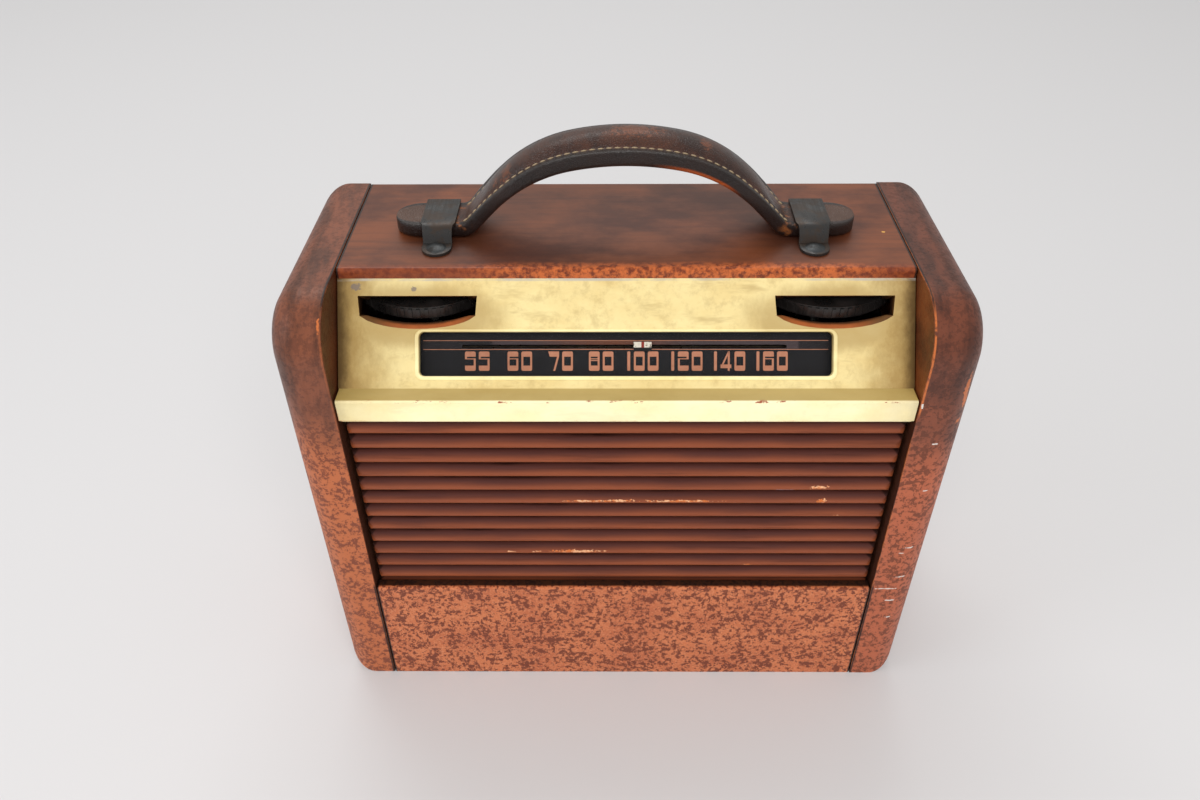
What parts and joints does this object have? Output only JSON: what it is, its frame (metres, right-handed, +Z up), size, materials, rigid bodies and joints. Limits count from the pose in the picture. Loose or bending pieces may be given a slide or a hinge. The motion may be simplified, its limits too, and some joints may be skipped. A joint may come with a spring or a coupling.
{
  "type": "portable tube radio",
  "caption": "Portable tube radio with a reeded wooden front, a slanted dial over thumbwheels, a leather strap handle and a hinged back with the tubes, speaker and battery inside.",
  "frame": {"origin": "under the middle of the cabinet, on the surface it stands on", "axes": "+X to the right seen from the front, along the width; +Y to the back; +Z up"},
  "size_m": [0.26, 0.105, 0.2455],
  "materials": {
    "cap_wood": "stained, satin, worn",
    "panel_wood": "stained, mottled, satin",
    "reed_wood": "dark stain, satin",
    "cream_paint": "aged enamel",
    "plain_wood": "unfinished",
    "door_wood": "stained, matte",
    "grille_fabric": "woven",
    "clear_window": "clear",
    "dial_black": "matte black",
    "leather": "worn, glossy",
    "dark_steel": "oxidised",
    "bright_steel": "zinc plated",
    "speaker_steel": "grey",
    "cone_paper": "felted",
    "magnet_iron": "machined",
    "core_iron": "laminated",
    "aluminium": "satin",
    "brass": "turned",
    "winding": "varnished wire",
    "cord": "braided",
    "socket_plastic": "moulded",
    "tube_glass": "getter flashed",
    "wax_card": "waxed",
    "wheel_plastic": "moulded",
    "pointer_enamel": "white enamel"
  },
  "bodies": {
    "cabinet": {"left_end_cap": "cap_wood", "right_end_cap": "cap_wood", "top_panel": "panel_wood", "bottom_panel": "plain_wood", "lower_front_panel": "panel_wood", "grille_panel": "reed_wood", "grille_cloth": "grille_fabric", "dial_rail": "cream_paint", "dial_board": "cream_paint", "dial_window": "clear_window", "dial_plate": "dial_black", "corner_blocks": "plain_wood", "chassis_cleats": "plain_wood", "keeper_batten": "plain_wood", "handle_grip": "leather", "left_handle_bracket": "dark_steel", "right_handle_bracket": "dark_steel", "bracket_screws": "dark_steel", "speaker_frame": "speaker_steel", "speaker_cone": "cone_paper", "speaker_magnet": "magnet_iron", "speaker_bolts": "bright_steel", "output_transformer": "core_iron", "chassis": "bright_steel", "chassis_screws": "bright_steel", "gang_frame": "bright_steel", "gang_stator": "aluminium", "volume_control": "aluminium", "shaft_bushings": "brass", "pulley_studs": "brass", "dial_cord": "cord", "tube_sockets": "socket_plastic", "converter_tube": "tube_glass", "if_amplifier_tube": "tube_glass", "detector_tube": "tube_glass", "output_tube": "tube_glass", "rectifier_tube": "tube_glass", "first_if_can": "aluminium", "second_if_can": "aluminium", "oscillator_coil": "wax_card", "filter_capacitor": "wax_card", "battery_pack": "wax_card", "battery_strap": "bright_steel", "strap_screws": "bright_steel", "door_pins": "bright_steel"},
    "tuning": {"tuning_wheel": "wheel_plastic", "tuning_shaft": "bright_steel"},
    "gang": {"gang_rotor": "aluminium", "drive_drum": "aluminium"},
    "pointer": {"dial_pointer": "pointer_enamel"},
    "left_guide": {"left_guide_pulley": "brass"},
    "right_guide": {"right_guide_pulley": "brass"},
    "volume": {"volume_wheel": "wheel_plastic", "volume_shaft": "bright_steel"},
    "door": {"back_door": "door_wood", "antenna_form": "wax_card", "antenna_loop": "winding"},
    "latch": {"door_latch": "bright_steel"}
  },
  "joints": [
    {"name": "tuning_turn", "type": "hinge", "parent": "cabinet", "child": "tuning", "pos_m": [0.0785, 0.0035, 0.186], "axis": [0, 0, 1], "range_deg": [-394, 305]},
    {"name": "pointer_slide", "type": "slide", "parent": "cabinet", "child": "pointer", "axis": [1, 0, 0], "range_m": [-0.062, 0.048]},
    {"name": "gang_turn", "type": "hinge", "parent": "cabinet", "child": "gang", "pos_m": [0.004, 0.0075, 0.168], "axis": [0, 0, 1], "range_deg": [-101.4, 78.6]},
    {"name": "left_guide_turn", "type": "hinge", "parent": "cabinet", "child": "left_guide", "pos_m": [-0.0675, -0.02366, 0.1743], "axis": [0, 0, 1], "range_deg": [-887, 687]},
    {"name": "right_guide_turn", "type": "hinge", "parent": "cabinet", "child": "right_guide", "pos_m": [0.0705, -0.02366, 0.1743], "axis": [0, 0, 1], "range_deg": [-887, 687]},
    {"name": "volume_turn", "type": "hinge", "parent": "cabinet", "child": "volume", "pos_m": [-0.0785, 0.0035, 0.186], "axis": [0, 0, 1], "range_deg": [0, 300]},
    {"name": "door_swing", "type": "hinge", "parent": "cabinet", "child": "door", "pos_m": [0, 0.05, 0.003], "axis": [-1, 0, 0], "range_deg": [0, 90]},
    {"name": "latch_turn", "type": "hinge", "parent": "door", "child": "latch", "pos_m": [0, 0.0525, 0.184], "axis": [0, -1, 0], "range_deg": [0, 90]}
  ],
  "couplings": [
    {"joint": "pointer_slide", "follows": "tuning_turn", "m_per_rad": 0.009},
    {"joint": "gang_turn", "follows": "tuning_turn", "ratio": 0.25714},
    {"joint": "left_guide_turn", "follows": "tuning_turn", "ratio": 2.25},
    {"joint": "right_guide_turn", "follows": "tuning_turn", "ratio": 2.25}
  ]
}
